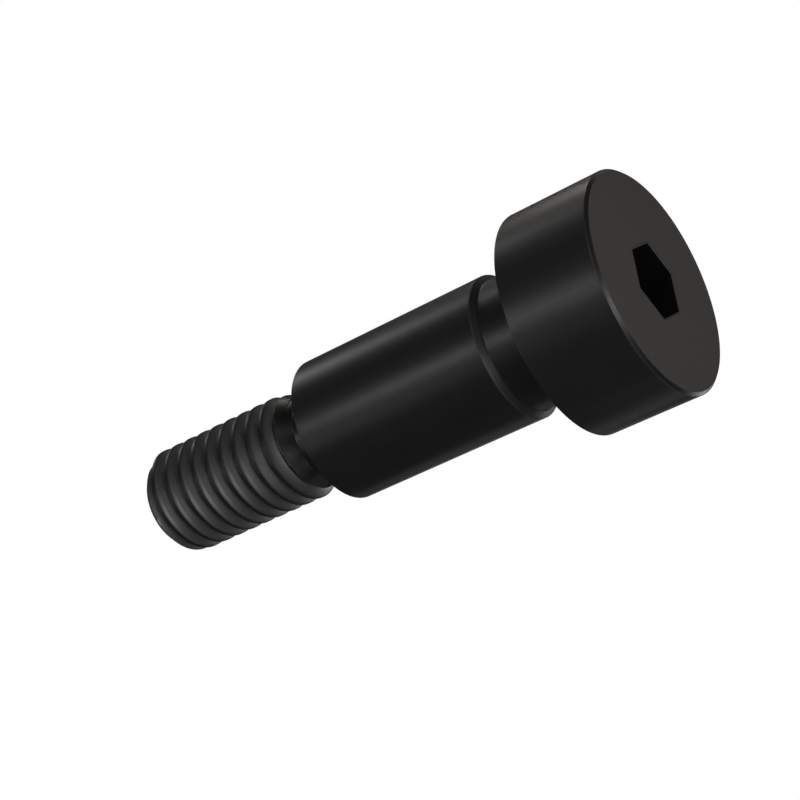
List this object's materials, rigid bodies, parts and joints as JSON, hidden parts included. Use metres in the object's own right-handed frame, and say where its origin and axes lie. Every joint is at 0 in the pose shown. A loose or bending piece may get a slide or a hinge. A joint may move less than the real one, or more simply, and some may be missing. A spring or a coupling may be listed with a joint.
{
  "type": "shoulder bolt",
  "caption": "Socket head shoulder bolt in black oxide steel: plain cylindrical head, ground shoulder for a lever or roller to turn on, and a threaded end.",
  "frame": {"origin": "centre of the head's face, at z = 0: the bolt stands on its head", "axes": "+Z along the bolt's axis, from the head towards the tip of the thread; two corners of the hexagon socket point along +Y and -Y"},
  "size_m": [0.01, 0.01, 0.0261],
  "materials": {
    "black_oxide_steel": "black oxide on hardened steel, satin, with a faint turned grain"
  },
  "bodies": {
    "root": {"shoulder_bolt": "black_oxide_steel"}
  },
  "joints": []
}
